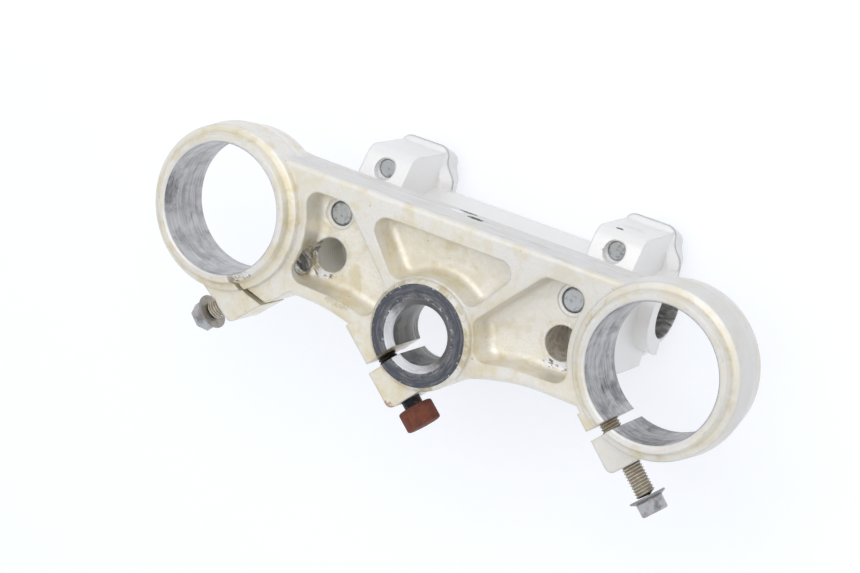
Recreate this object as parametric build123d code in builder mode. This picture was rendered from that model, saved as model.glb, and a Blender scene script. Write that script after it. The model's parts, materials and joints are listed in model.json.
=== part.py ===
"""Upper fork yoke (triple clamp) of a motorcycle, with cast-in handlebar risers.

The frame: Z runs up the steering stem, Y to the front of the motorcycle and X to the rider's right.
The origin is on the stem bore's axis, in the machined seat face under the stem boss.
"""
from build123d import *

import os
from math import cos, radians, sin

os.makedirs("parts", exist_ok=True)

# Fork bosses
fork_spacing = 197.2
fork_offset = 20.7
fork_bore = 54.0
fork_boss_r = 35.0
collar_r = 30.3
collar_drop = 3.1
groove_r = 31.4
boss_top = 25.2
boss_top_r = 32.6
boss_inset = 0.5
ridge_r = 34.1
ridge_rise = 1.0
parting_height = 11.0

# Stem boss
stem_bore = 24.3
stem_seat_r = 20.5
stem_boss_r = 22.4
stem_rise = 2.0
stem_top = 24.4
bore_chamfer = 1.5
stem_chamfer = 2.7
fork_chamfer = 0.8
nut_seat_r = 20.0

# Web, the ribbed plate between the bosses
rib_plane = 3.5
pocket_floor = 15.5
web_top = 25.2
front_edge = 48.4
front_wall = 9.4
front_blend = 45.0
rear_edge = -4.6
rear_bay = 5.0
rear_bay_length = 30.0
arm = (46.0, -5.0)
neck = (33.0, -7.6)
waist = (20.0, -13.0)
web_round = 2.5
boss_wall = 3.3
stem_wall = 1.6
rib_foot = (14.0, 5.0)
rib_head_x = 45.5
side_pocket_rear = 3.0
side_pocket_bend = (40.0, 1.6)
side_pocket_tip = (14.0, -4.0)
middle_pocket_half = 35.0
middle_pocket_foot = (11.0, 9.0)
pocket_corner = 4.5
pocket_blend = 3.5
pocket_draft = 4.0

# Pinch clamps: distances along the slit (reach) and across it (seat, offset) from the bore's axis
pinch_z = 11.0
lug_top = 21.5
slit_angle = 46.0
slit_offset = 9.4
left_slit = 3.9
right_slit = 2.2
slit_bend = 33.0
slit_lean = 30.0
slit_drift = 0.3
slit_round = 7.0
slit_overlap = 5.0
fork_lug_seat = 26.0
right_lug_seat = 24.8
left_lug_reach = 38.3
right_lug_reach = 41.9
left_pinch_reach = 31.6
right_pinch_reach = 33.0
left_inner_reach = 36.9
right_inner_reach = 42.7
right_lug_root = 30.9
right_lug_end = 23.3
left_inner_half = 4.5
right_inner_half = 11.0
lug_corner = 3.0
stem_angle = 48.0
stem_slit = 3.6
stem_lug_seat = 18.4
stem_lug_reach = 29.6
stem_inner_reach = 28.4
stem_inner_half = 19.5
stem_pinch_reach = 22.7
fork_tap_depth = 33.0
tap_mouth = 14.0
tap_mouth_d = 11.0
tap_mouth_depth = 8.0
stem_tap_depth = 14.0

# Handlebar clamps
riser_x = 53.6
bar_y = 23.2
split_z = 76.2
bar_d = 22.0
bore_overrun = 1.0
clamp_half = 16.6
leg_half = 10.6
lug_half = 11.6
lug_low = 47.5
lug_root = 40.5
nose_front = 57.8
nose_corner = 4.5
shoulder_front = 42.0
barrel_rear = 12.6
tail_start = 3.6
tail_step = 1.0
tail_share = 0.7
tail_round = 2.4
lug_share = 0.3
rear_lug_end = -2.6
flare = 3.9
barrel_r = 18.0
leg_front = 40.5
leg_rear = 1.5
leg_round = 7.0
leg_base = 21.2
heel_low = 48.7
heel_rise = 6.0
heel_end = -2.0
heel_round = 3.0
face_front = 55.3
bridge_thick = 5.2
bridge_foot = 31.0
bridge_waist = 56.0
bridge_head = 72.0
split_gap = 0.5
cap_foot = 12.0
cap_round = 8.0
cap_bolt_front = 47.8
cap_bolt_rear = 6.0
cap_bolt_seat = 4.5
cap_recess_d = 9.2
rear_well_d = 14.4
rear_well_y = 13.7
rear_well_top = 36.0
stud_y = 31.4

# Fasteners
thread_d = 8.0
pinch_flange_d = 14.8
pinch_flange_h = 1.5
pinch_hex = 10.5
pinch_hex_h = 5.6
pinch_length = 40.0
pinch_spot_d = 16.0
left_backed_out = 13.4
right_backed_out = 8.5
stem_head_d = 14.6
stem_head_h = 8.5
stem_backed_out = 3.4
stem_bolt_length = 34.0
cap_bolt_length = 34.0
cap_head_d = 13.0
cap_head_h = 8.0
socket_across = 6.0
socket_depth = 4.0
stud_d = 9.6
stud_length = 18.0
stud_proud = 0.75
stud_play = 0.3
spot_d = 13.0
spot_depth = 0.75
bolt_play = 0.4
head_chamfer = 0.8
thread_chamfer = 0.7

near = 0.1
fork_x = fork_spacing / 2
bar_r = bar_d / 2
bore_r = fork_bore / 2


def clamp_plane(x, y, angle):
    """The plane of a pinch clamp: X runs out along the slit, the origin is on the bore's axis."""
    return Plane(origin=(x, y, 0), x_dir=(cos(radians(angle)), sin(radians(angle)), 0), z_dir=(0, 0, 1))


def pinch_plane(base, along, across, turn):
    """A plane square to a pinch bolt, whose Z points to the bolt's head; turn is 1 or -1."""
    return Plane(origin=base.from_local_coords((along, turn * across, pinch_z)),
                 x_dir=(0, 0, 1), z_dir=base.y_dir * turn)


left_clamp = clamp_plane(-fork_x, fork_offset, -slit_angle)
right_clamp = clamp_plane(fork_x, fork_offset, slit_angle - 180)
stem_clamp = clamp_plane(0, 0, -stem_angle)
left_pinch = pinch_plane(left_clamp, left_pinch_reach, fork_lug_seat, -1)
right_pinch = pinch_plane(right_clamp, right_pinch_reach, right_lug_seat, 1)
stem_pinch = pinch_plane(stem_clamp, stem_pinch_reach, stem_lug_seat, -1)
left_clear = fork_lug_seat - slit_offset
right_clear = right_lug_seat - slit_offset
stem_clear = stem_lug_seat
cap_bolt_end = split_z + cap_bolt_seat - cap_bolt_length
slit_height = web_top + collar_drop
ON_BASE = (Align.CENTER, Align.CENTER, Align.MIN)
UNDER_SEAT = (Align.CENTER, Align.CENTER, Align.MAX)


def web_outline():
    """The plan of the web between the bosses, as one closed face."""
    with BuildSketch(Plane.XY.offset(rib_plane)) as plan:
        with BuildLine():
            right = Spline((fork_x, rear_edge + rear_bay), (fork_x - rear_bay_length, rear_edge), arm, neck,
                           waist, tangents=[(-1, -0.4), (-0.7, -0.7)])
            mirror(right, about=Plane.YZ)
            Line(waist, (-waist[0], waist[1]))
            Polyline((fork_x, rear_edge + rear_bay), (fork_x, front_edge), (-fork_x, front_edge),
                     (-fork_x, rear_edge + rear_bay))
        make_face()
        with Locations((fork_x, fork_offset), (-fork_x, fork_offset)):
            Circle(boss_top_r - boss_inset)
        blend = plan.vertices().filter_by_position(Axis.Y, front_edge - near, front_edge + near)
        fillet(blend, radius=front_blend)
    return plan.sketch


def side_pocket(side):
    """The floor of an outer pocket: straight walls, closed by arcs round the fork and stem bosses."""
    edge = front_edge - front_wall
    corners = [rib_foot, (rib_head_x, edge), (fork_x, edge), (fork_x, side_pocket_rear), side_pocket_bend,
               side_pocket_tip]
    with BuildSketch(Plane.XY.offset(pocket_floor)) as plan:
        with BuildLine():
            Polyline(*[(side * x, y) for x, y in corners][::side], close=True)
        make_face()
        with Locations((side * fork_x, fork_offset)):
            Circle(fork_boss_r + boss_wall, mode=Mode.SUBTRACT)
        Circle(stem_boss_r + stem_wall, mode=Mode.SUBTRACT)
        fillet(plan.vertices(), radius=pocket_corner)
    return plan.sketch


def middle_pocket():
    """The floor of the middle pocket: a straight front, slanted ends and an arc round the stem boss."""
    edge = front_edge - front_wall
    with BuildSketch(Plane.XY.offset(pocket_floor)) as plan:
        with BuildLine():
            Polyline((-middle_pocket_half, edge), (-middle_pocket_foot[0], middle_pocket_foot[1]),
                     middle_pocket_foot, (middle_pocket_half, edge), close=True)
        make_face()
        Circle(stem_boss_r + stem_wall, mode=Mode.SUBTRACT)
        fillet(plan.vertices(), radius=pocket_corner)
    return plan.sketch


def pocket_solid(floor):
    """What a pocket takes out of the web: it widens to its mouth, and a round joins its walls to its floor."""
    with BuildPart() as pocket:
        extrude(floor, amount=pocket_floor - rib_plane, dir=(0, 0, -1), taper=-pocket_draft)
        fillet(pocket.edges().group_by(Axis.Z)[-1], radius=pocket_blend)
    return pocket.part


def lug_plan(base, turn, reach, seat, root, inner_reach, inner):
    """The plan of a pinch lug before it is slit: the head's half, and the half that runs into the web.

    The head's half is as wide as root at the bore's axis and as seat at its end.
    """
    with BuildSketch(Plane(origin=base.origin + Vector(0, 0, rib_plane), x_dir=base.x_dir)) as plan:
        with BuildLine():
            Polyline((0, 0), (0, turn * root), (reach, turn * seat), (reach, 0), (inner_reach, 0),
                     (inner_reach, -turn * inner), (0, -turn * inner), close=True)
        make_face()
        fillet(plan.vertices().sort_by_distance((reach, turn * seat))[0], radius=lug_corner)
    return plan.sketch


def straight_slit(base, offset, start, width):
    """The plan of a straight slit that runs out from the bore."""
    with BuildSketch(Plane(origin=base.origin - Vector(0, 0, collar_drop), x_dir=base.x_dir)) as plan:
        with Locations((start, offset)):
            Rectangle(fork_boss_r, width, align=(Align.MIN, Align.CENTER))
    return plan.sketch


def bent_slit(base, offset, start, width):
    """The plan of the right clamp's slit, which wanders inwards halfway out."""
    with BuildSketch(Plane(origin=base.origin - Vector(0, 0, collar_drop), x_dir=base.x_dir)) as plan:
        with BuildLine():
            cut = FilletPolyline((start, offset), (slit_bend, offset + slit_drift),
                                 (slit_bend + fork_boss_r * cos(radians(slit_lean)),
                                  offset - fork_boss_r * sin(radians(slit_lean))), radius=slit_round)
        trace(cut, line_width=width)
    return plan.sketch


def clamp_outline(height, inset):
    """The plan of a handlebar clamp: a wide barrel with a narrow lug before it and behind it."""
    front = nose_front - inset
    lug = lug_half - inset * lug_share
    wide = clamp_half - inset
    with BuildSketch(Plane.XY.offset(height)) as plan:
        with BuildLine() as half:
            nose = Line((0, front), (lug - nose_corner, front))
            corner = TangentArc(nose @ 1, (lug, front - nose_corner), tangent=nose % 1)
            shoulder = Spline(corner @ 1, (wide, shoulder_front), tangents=[(0, -1), (0, -1)])
            wall = Line(shoulder @ 1, (wide, barrel_rear))
            step = Spline(wall @ 1, (lug - tail_step, tail_start), tangents=[(0, -1), (0, -1)])
            tail = ThreePointArc(step @ 1, (lug * tail_share, rear_lug_end + tail_round), (0, rear_lug_end))
            mirror(half.line, about=Plane.YZ)
        make_face()
    return plan.sketch


def leg_profile():
    """The side view of a riser's leg, on its middle plane."""
    with BuildSketch(Plane.YZ) as plan:
        with BuildLine():
            Polyline((leg_rear, leg_base), (leg_rear, heel_low), (heel_end, heel_low + heel_rise),
                     (heel_end, split_z - split_gap / 2), (face_front, split_z - split_gap / 2),
                     (face_front, lug_low), (leg_front, lug_root), (leg_front, leg_base), close=True)
        make_face()
        fillet(plan.vertices().filter_by_position(Axis.Y, lug_low - near, lug_low + near), radius=leg_round)
        fillet(plan.vertices().filter_by_position(Axis.Y, lug_root - near, lug_root + near), radius=heel_round)
    return plan.sketch


def bridge_profile():
    """The section of the wall between the risers, which leans forward under its top edge."""
    top = split_z - split_gap
    rear_top = leg_front - bridge_thick
    with BuildSketch(Plane.YZ) as plan:
        with BuildLine():
            Polyline((bridge_foot, leg_base), (bridge_foot, bridge_waist), (rear_top, bridge_head),
                     (rear_top, top), (leg_front, top), (leg_front, bridge_head),
                     (bridge_foot + bridge_thick, bridge_waist), (bridge_foot + bridge_thick, leg_base),
                     close=True)
        make_face()
    return plan.sketch


def boss_profile(axis_x):
    """Half the section of a fork boss, on a plane through its axis."""
    with BuildSketch(Plane(origin=(axis_x, fork_offset, 0), x_dir=(1, 0, 0), z_dir=(0, -1, 0))) as plan:
        with BuildLine():
            Polyline((0, -collar_drop), (collar_r, -collar_drop), (groove_r, 0), (ridge_r, ridge_rise),
                     (fork_boss_r, parting_height), (boss_top_r, boss_top), (0, boss_top), close=True)
        make_face()
    return plan.sketch


web = web_outline()
pockets = [pocket_solid(floor) for floor in (side_pocket(1), side_pocket(-1), middle_pocket())]
left_lug = lug_plan(left_clamp, -1, left_lug_reach, fork_lug_seat, fork_lug_seat, left_inner_reach,
                    left_inner_half)
right_lug = lug_plan(right_clamp, 1, right_lug_reach, right_lug_end, right_lug_root, right_inner_reach,
                     right_inner_half)
stem_lug = lug_plan(stem_clamp, -1, stem_lug_reach, stem_lug_seat, stem_lug_seat, stem_inner_reach,
                    stem_inner_half)
lower_flare = [clamp_outline(split_z - split_gap / 2, 0), clamp_outline(split_z - split_gap / 2 - flare, flare)]
cap_flare = [clamp_outline(split_z + split_gap / 2, 0), clamp_outline(split_z + cap_foot, flare)]
risers = [Plane(origin=(riser_x, 0, 0)), Plane(origin=(-riser_x, 0, 0))]


def barrel_section():
    """The round of a handlebar clamp, seen along the handlebar."""
    with BuildSketch(Plane.YZ.offset(-clamp_half)) as plan:
        with Locations((bar_y, split_z)):
            Circle(barrel_r)
    return plan.sketch


with BuildPart() as lower_clamp:
    loft(lower_flare)
    extrude(leg_profile(), amount=leg_half, both=True)
    extrude(barrel_section(), amount=2 * clamp_half)
    split(bisect_by=Plane.XY.offset(split_z - split_gap / 2), keep=Keep.BOTTOM)

with BuildPart() as clamp_body:
    extrude(web, amount=web_top - rib_plane)
    fillet(clamp_body.edges().group_by(Axis.Z)[0] + clamp_body.edges().group_by(Axis.Z)[-1], radius=web_round)
    for axis_x in (fork_x, -fork_x):
        revolve(boss_profile(axis_x), axis=Axis((axis_x, fork_offset, 0), (0, 0, 1)))
    with BuildSketch(Plane.XZ) as stem_section:
        with BuildLine():
            Polyline((0, 0), (stem_seat_r, 0), (stem_boss_r, stem_rise), (stem_boss_r, web_top), (0, web_top),
                     close=True)
        make_face()
    revolve(stem_section.sketch, axis=Axis.Z)
    extrude(left_lug, amount=lug_top - rib_plane)
    extrude(right_lug, amount=lug_top - rib_plane)
    extrude(stem_lug, amount=lug_top - rib_plane)
    extrude(bridge_profile(), amount=riser_x, both=True)
    with Locations(*risers):
        add(lower_clamp.part)
    # Pockets
    for pocket in pockets:
        add(pocket, mode=Mode.SUBTRACT)
    # Slits, right through the bosses' height
    for slit in (straight_slit(left_clamp, -slit_offset, bore_r - slit_overlap, left_slit),
                 bent_slit(right_clamp, slit_offset, bore_r - slit_overlap, right_slit),
                 straight_slit(stem_clamp, 0, stem_bore / 2 - slit_overlap, stem_slit)):
        extrude(slit, amount=slit_height, dir=(0, 0, 1), mode=Mode.SUBTRACT)
    # Fork and stem bores, chamfered at their mouths
    with BuildSketch(Plane.XZ) as fork_bore_section:
        with BuildLine():
            Polyline((0, -collar_drop), (bore_r + fork_chamfer, -collar_drop),
                     (bore_r, fork_chamfer - collar_drop), (bore_r, boss_top - fork_chamfer),
                     (bore_r + fork_chamfer, boss_top), (0, boss_top), close=True)
        make_face()
    with BuildSketch(Plane.XZ) as stem_bore_section:
        with BuildLine():
            Polyline((0, 0), (stem_bore / 2 + stem_chamfer, 0), (stem_bore / 2, stem_chamfer),
                     (stem_bore / 2, stem_top - bore_chamfer), (stem_bore / 2 + bore_chamfer, stem_top),
                     (nut_seat_r, stem_top), (nut_seat_r, web_top), (0, web_top), close=True)
        make_face()
    for axis_x in (fork_x, -fork_x):
        cutter = fork_bore_section.sketch.moved(Location((axis_x, fork_offset, 0)))
        revolve(cutter, axis=Axis((axis_x, fork_offset, 0), (0, 0, 1)), mode=Mode.SUBTRACT)
    revolve(stem_bore_section.sketch, axis=Axis.Z, mode=Mode.SUBTRACT)
    # Handlebar bores, wells and stud holes
    with Locations(Plane(origin=(0, bar_y, split_z), x_dir=(0, 1, 0), z_dir=(1, 0, 0))):
        Cylinder(bar_r, 2 * (riser_x + clamp_half + bore_overrun), mode=Mode.SUBTRACT)
    for x in (riser_x, -riser_x):
        with Locations((x, rear_well_y, rib_plane)):
            Cylinder(rear_well_d / 2, rear_well_top - rib_plane, align=ON_BASE, mode=Mode.SUBTRACT)
        with Locations((x, stud_y, rib_plane)):
            Cylinder(spot_d / 2, pocket_floor + spot_depth - rib_plane, align=ON_BASE, mode=Mode.SUBTRACT)
            Cylinder(stud_d / 2 + stud_play, pocket_floor + stud_proud + stud_length - rib_plane,
                     align=ON_BASE, mode=Mode.SUBTRACT)
        for y in (cap_bolt_front, cap_bolt_rear):
            with Locations((x, y, cap_bolt_end - bolt_play)):
                Cylinder(thread_d / 2, split_z - cap_bolt_end + bolt_play, align=ON_BASE, mode=Mode.SUBTRACT)
        with Locations((x, cap_bolt_front, lug_root)):
            Cylinder(cap_recess_d / 2, cap_bolt_end - bolt_play - lug_root, align=ON_BASE, mode=Mode.SUBTRACT)
    # Pinch bolt holes: clear through the head's half, tapped beyond the slit
    for pinch, clear, tap in ((left_pinch, left_clear, fork_tap_depth), (right_pinch, right_clear, fork_tap_depth),
                              (stem_pinch, stem_clear, stem_tap_depth)):
        with Locations(pinch):
            Cylinder(thread_d / 2, clear + tap, align=UNDER_SEAT, mode=Mode.SUBTRACT)
            Cylinder(thread_d / 2 + bolt_play, clear, align=UNDER_SEAT, mode=Mode.SUBTRACT)
            Cylinder(pinch_spot_d / 2, right_lug_root - right_lug_end, align=ON_BASE, mode=Mode.SUBTRACT)
    # The fork bolts' tapped holes end in a spotface in the side pockets' walls
    for base, reach, turn in ((left_clamp, left_pinch_reach, -1), (right_clamp, right_pinch_reach, 1)):
        with Locations(pinch_plane(base, reach, -tap_mouth, turn)):
            Cylinder(tap_mouth_d / 2, tap_mouth_depth, align=UNDER_SEAT, mode=Mode.SUBTRACT)
clamp_body.part.label = "clamp_body"
export_step(clamp_body.part, "parts/clamp_body.step")

# Bar caps
with BuildPart() as cap_blank:
    extrude(barrel_section(), amount=2 * clamp_half)
    fillet(cap_blank.edges().filter_by(GeomType.CIRCLE), radius=cap_round)
    loft(cap_flare)
    split(bisect_by=Plane.XY.offset(split_z + split_gap / 2), keep=Keep.TOP)
    with Locations(Plane(origin=(0, bar_y, split_z), x_dir=(0, 1, 0), z_dir=(1, 0, 0))):
        Cylinder(bar_r, 2 * (clamp_half + bore_overrun), mode=Mode.SUBTRACT)
    for y in (cap_bolt_front, cap_bolt_rear):
        with Locations((0, y, split_z)):
            Cylinder(thread_d / 2 + bolt_play, cap_bolt_seat, align=ON_BASE, mode=Mode.SUBTRACT)
        with Locations((0, y, split_z + cap_bolt_seat)):
            Cylinder(cap_head_d / 2 + bolt_play, barrel_r, align=ON_BASE, mode=Mode.SUBTRACT)


def save(piece, name):
    """Label a finished piece and write it to its own file."""
    piece.label = name
    export_step(piece, f"parts/{name}.step")


for side, x in (("right", riser_x), ("left", -riser_x)):
    save(cap_blank.part.moved(Location((x, 0, 0))), f"{side}_bar_cap")

# Cap bolts: M8 with a socket in a cylinder head
with BuildPart() as cap_bolt:
    Cylinder(cap_head_d / 2, cap_head_h, align=ON_BASE)
    chamfer(cap_bolt.edges().sort_by(Axis.Z)[-1], length=head_chamfer)
    with BuildSketch(Plane.XY.offset(cap_head_h)) as socket:
        RegularPolygon(socket_across / 2, 6, major_radius=False)
    extrude(socket.sketch, amount=-socket_depth, mode=Mode.SUBTRACT)
    Cylinder(thread_d / 2, cap_bolt_length, align=UNDER_SEAT)
    chamfer(cap_bolt.edges().sort_by(Axis.Z)[0], length=thread_chamfer)
for side, x in (("right", riser_x), ("left", -riser_x)):
    for end, y in (("front", cap_bolt_front), ("rear", cap_bolt_rear)):
        save(cap_bolt.part.moved(Location((x, y, split_z + cap_bolt_seat))), f"{side}_{end}_cap_bolt")

# Riser studs
with BuildPart() as riser_stud:
    Cylinder(stud_d / 2, stud_length, align=ON_BASE)
    chamfer(riser_stud.edges().filter_by(GeomType.CIRCLE), length=thread_chamfer)
for side, x in (("right", riser_x), ("left", -riser_x)):
    save(riser_stud.part.moved(Location((x, stud_y, pocket_floor + stud_proud))), f"{side}_riser_stud")


def fork_pinch_bolt(place, backed_out):
    """A flanged hex bolt on the plane of its seat, unscrewed by the given length."""
    with BuildPart(place.offset(backed_out)) as bolt:
        Cylinder(pinch_flange_d / 2, pinch_flange_h, align=ON_BASE)
        with BuildSketch(place.offset(backed_out + pinch_flange_h)) as hexagon:
            RegularPolygon(pinch_hex / 2, 6, major_radius=False)
        extrude(hexagon.sketch, amount=pinch_hex_h)
        Cylinder(thread_d / 2, pinch_length, align=UNDER_SEAT)
    return bolt.part


save(fork_pinch_bolt(left_pinch, left_backed_out), "left_fork_pinch_bolt")
save(fork_pinch_bolt(right_pinch, right_backed_out), "right_fork_pinch_bolt")

with BuildPart(stem_pinch.offset(stem_backed_out)) as stem_pinch_bolt:
    Cylinder(stem_head_d / 2, stem_head_h, align=ON_BASE)
    chamfer(stem_pinch_bolt.edges().filter_by(GeomType.CIRCLE), length=head_chamfer)
    Cylinder(thread_d / 2, stem_bolt_length, align=UNDER_SEAT)
save(stem_pinch_bolt.part, "stem_pinch_bolt")
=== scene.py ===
"""An old cast fork yoke, seen from under its fork and stem bores, with worn lacquer, rust and stains.

The casting, caps and studs come from the frame and get their finishes here. The three pinch bolts and the
open thread in the right side pocket are modelled here, in the places that the frame gives them. Lengths
are in metres. The materials read Object coordinates in millimetres, so a ramp on a place or a distance
has its limits in millimetres too, and a ramp on a noise has them between 0 and 1.
"""
import json
import math

import bmesh
import bpy
from mathutils import Matrix, Vector


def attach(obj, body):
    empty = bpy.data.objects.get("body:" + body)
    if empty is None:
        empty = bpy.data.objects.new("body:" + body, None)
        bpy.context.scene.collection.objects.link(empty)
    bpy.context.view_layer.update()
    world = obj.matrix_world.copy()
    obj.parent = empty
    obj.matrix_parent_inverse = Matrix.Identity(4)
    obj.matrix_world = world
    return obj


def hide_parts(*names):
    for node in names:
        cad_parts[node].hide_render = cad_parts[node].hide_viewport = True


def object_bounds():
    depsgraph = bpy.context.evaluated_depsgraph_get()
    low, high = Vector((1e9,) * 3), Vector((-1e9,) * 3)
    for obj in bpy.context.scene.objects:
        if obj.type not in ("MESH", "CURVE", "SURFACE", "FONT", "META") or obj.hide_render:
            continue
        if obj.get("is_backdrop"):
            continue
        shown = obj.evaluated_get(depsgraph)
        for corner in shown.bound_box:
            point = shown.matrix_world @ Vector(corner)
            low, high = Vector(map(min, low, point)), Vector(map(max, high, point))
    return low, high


bl_info = {
    "name": "Fork yoke",
    "version": (1, 0, 0),
    "blender": (4, 5, 0),
    "location": "3D View > Sidebar > Fork yoke",
    "description": "Dresses a cast fork yoke with worn lacquer, threads, rust and a pale studio",
    "category": "Object",
}

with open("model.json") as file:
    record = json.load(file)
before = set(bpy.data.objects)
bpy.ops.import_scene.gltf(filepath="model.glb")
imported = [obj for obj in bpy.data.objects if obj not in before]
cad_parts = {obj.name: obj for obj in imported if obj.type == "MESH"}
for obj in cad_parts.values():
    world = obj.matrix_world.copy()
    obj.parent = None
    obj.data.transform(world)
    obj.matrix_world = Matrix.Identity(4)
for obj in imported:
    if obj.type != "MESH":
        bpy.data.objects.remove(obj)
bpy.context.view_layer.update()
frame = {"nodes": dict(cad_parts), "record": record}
MM = 0.001
MOUNTS = {mount["name"]: mount for mount in frame["record"]["mounts"]}
FORK_X, FORK_Y = (value / MM for value in MOUNTS["right_fork_bore"]["pos_m"][:2])
RISER_X, BAR_Y, BAR_Z = (value / MM for value in MOUNTS["handlebar_bore"]["pos_m"])
# Places on the casting in millimetres, each written once for the finishes that meet there.
WELL_Y = 13.7
STUD_Y = 31.4
POCKET_FLOOR = 15.5
FRONT_WALL = 48.4
LUG_FRONT = 55.3
BORE_WALL = (27.35, 27.1)
SEAT_RIM = (20.9, 20.6)
# The rays that see the pale floor and backdrop.
SHOWN_RAYS = ("Is Camera Ray", "Is Glossy Ray", "Is Transmission Ray")
# How far the floor and the backdrop stand from the yoke, and each lamp's place and width, in metres.
FLOOR_GAP = 0.1 * MM
BACKDROP_GAP = 3 * MM
KEY_PLACE, KEY_WIDTH = (-0.15, 0.55, -1.0), 0.9
TOP_PLACE, TOP_WIDTH = (0.5, -0.6, 1.2), 1.2
# The straight pieces in one turn of a thread.
TURN_STEPS = 36
# The sockets of a Mix node, by number because its colours and numbers share their names.
MIX_SHARE = 0
MIX_NUMBERS = (2, 3)
MIX_COLOURS = (6, 7)
MIX_COLOUR_OUT = 2


def linear(red, green, blue, alpha=1.0):
    """A colour given by its screen values, from 0 to 255, as the linear values that a shader takes."""
    def channel(value):
        share = value / 255
        return share / 12.92 if share <= 0.04045 else ((share + 0.055) / 1.055) ** 2.4
    return (channel(red), channel(green), channel(blue), alpha)


def colour(name, description, red, green, blue):
    """A colour property with its default."""
    return bpy.props.FloatVectorProperty(name=name, description=description, subtype="COLOR", size=4, min=0,
                                         max=1, default=linear(red, green, blue))


def length(name, description, millimetres):
    """A length property with its default."""
    return bpy.props.FloatProperty(name=name, description=description, subtype="DISTANCE", unit="LENGTH",
                                   default=millimetres * MM)


class CastingLook(bpy.types.PropertyGroup):
    """Colours of the casting and its machined faces."""
    lacquer: colour("Lacquer", "Pale lacquer over the cast skin", 233, 230, 223)
    # Near-white on the risers: cleaner lacquer and painted light.
    clean: colour("Clean lacquer", "Lacquer on the risers", 240, 239, 238)
    ivory: colour("Ivory", "Lacquer where it has yellowed", 224, 215, 187)
    amber: colour("Amber", "Deep yellow where the lacquer has aged most", 216, 200, 152)
    # A lighter yellowish white for the pocket floor: painted light in the recesses.
    painted_floor_light: colour("Cream", "Lacquer on the pockets' floors", 248, 243, 230)
    # Laid as dirt, and also as painted shade in corners.
    stain_and_shade: colour("Stain", "Brown stain in corners", 178, 160, 112)
    # Also laid on the front wall as painted shade.
    cool_grey_and_shade: colour("Cool grey", "Bare casting where the lacquer is thin", 214, 213, 212)
    bore: colour("Bore", "Machined bore walls", 214, 213, 214)
    bore_dark: colour("Bore streaks", "Dark streaks on the bore walls", 82, 82, 86)
    throat: colour("Stem bore", "Grey-green wall of the stem bore", 128, 128, 120)
    seat: colour("Stem seat", "Blackened face round the stem bore", 76, 79, 88)
    seat_worn: colour("Stem seat wear", "Turned rings where the seat is worn", 136, 134, 134)
    # Also laid as painted highlights on the chamfers of the fork and stem bores.
    bright: colour("Bright metal", "Fresh aluminium at chips and chamfers", 240, 240, 243)
    well: colour("Wells", "Walls of the deep wells", 232, 230, 220)
    rust: colour("Rust", "Rust that has run from the steel", 158, 96, 52)
    tar: colour("Tar", "Black marks on the front", 30, 30, 34)


class SteelLook(bpy.types.PropertyGroup):
    """Colours of the bolts and studs."""
    plate: colour("Plating", "Worn zinc plating", 182, 184, 185)
    plate_dark: colour("Dirty plating", "Dirt in the plating", 82, 79, 74)
    oxide: colour("Black oxide", "Blackened shank of the stem bolt", 36, 40, 46)
    thread: colour("Thread", "Dirty grey threads", 206, 202, 192)
    # Also darkens the thread roots as painted shade.
    thread_dark: colour("Thread dirt", "Old grease on the threads", 150, 141, 120)
    red_rust: colour("Red rust", "Rust on the stem bolt's head", 116, 62, 46)
    dark_rust: colour("Dark rust", "Old rust on the stem bolt's head", 72, 46, 42)
    stud_face: colour("Stud face", "Flat ends of the studs", 206, 211, 215)


class BoltSizes(bpy.types.PropertyGroup):
    """Sizes of the pinch bolts and the places of their axes."""
    thread: length("Thread", "Outside diameter of the threads", 8.1)
    root: length("Root", "Diameter at the bottom of the threads", 6.9)
    pitch: length("Pitch", "Thread pitch", 1.25)
    height: length("Height", "Height of the pinch bolts' axes", 11.0)
    flange: length("Flange", "Diameter of the fork bolts' flanges", 14.8)
    flange_edge: length("Flange edge", "Thickness of the flange's rim", 1.5)
    hexagon: length("Hexagon", "Width across the hexagon's flats", 10.5)
    hexagon_height: length("Hexagon height", "Height of the hexagon over the flange", 5.6)
    fork_length: length("Fork bolt", "Length of the fork pinch bolts under their heads", 40.0)
    stem_length: length("Stem bolt", "Length of the stem pinch bolt under its head", 34.0)
    stem_head: length("Stem head", "Diameter of the stem bolt's head", 14.6)
    stem_head_height: length("Stem head height", "Height of the stem bolt's head", 8.5)
    seat: length("Left seat", "From the left fork bore's axis to its bolt's seat", 26.0)
    right_seat: length("Right seat", "From the right fork bore's axis to its bolt's seat", 24.8)
    stem_seat: length("Stem seat", "From the stem bore's axis to its bolt's seat", 18.4)
    left_reach: length("Left reach", "Along the slit from the left bore's axis to the bolt", 31.6)
    right_reach: length("Right reach", "Along the slit from the right bore's axis to the bolt", 33.0)
    stem_reach: length("Stem reach", "Along the slit from the stem bore's axis to the bolt", 22.7)
    left_out: length("Left backed out", "How far the left bolt is unscrewed", 13.4)
    right_out: length("Right backed out", "How far the right bolt is unscrewed", 8.5)
    stem_out: length("Stem backed out", "How far the stem bolt is unscrewed", 3.4)
    tap: length("Tapped hole", "Diameter of the right clamp's tapped hole", 8.0)
    tap_mouth: length("Tap mouth", "Diameter of the tapped hole's wider mouth", 11.0)
    tap_depth: length("Tap depth", "From the right bolt's head to the mouth's floor", 47.3)
    fork_angle: bpy.props.FloatProperty(name="Fork slits", description="Angle of the fork clamps' slits",
                                        subtype="ANGLE", default=math.radians(46))
    stem_angle: bpy.props.FloatProperty(name="Stem slit", description="Angle of the stem clamp's slit",
                                        subtype="ANGLE", default=math.radians(48))


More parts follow.
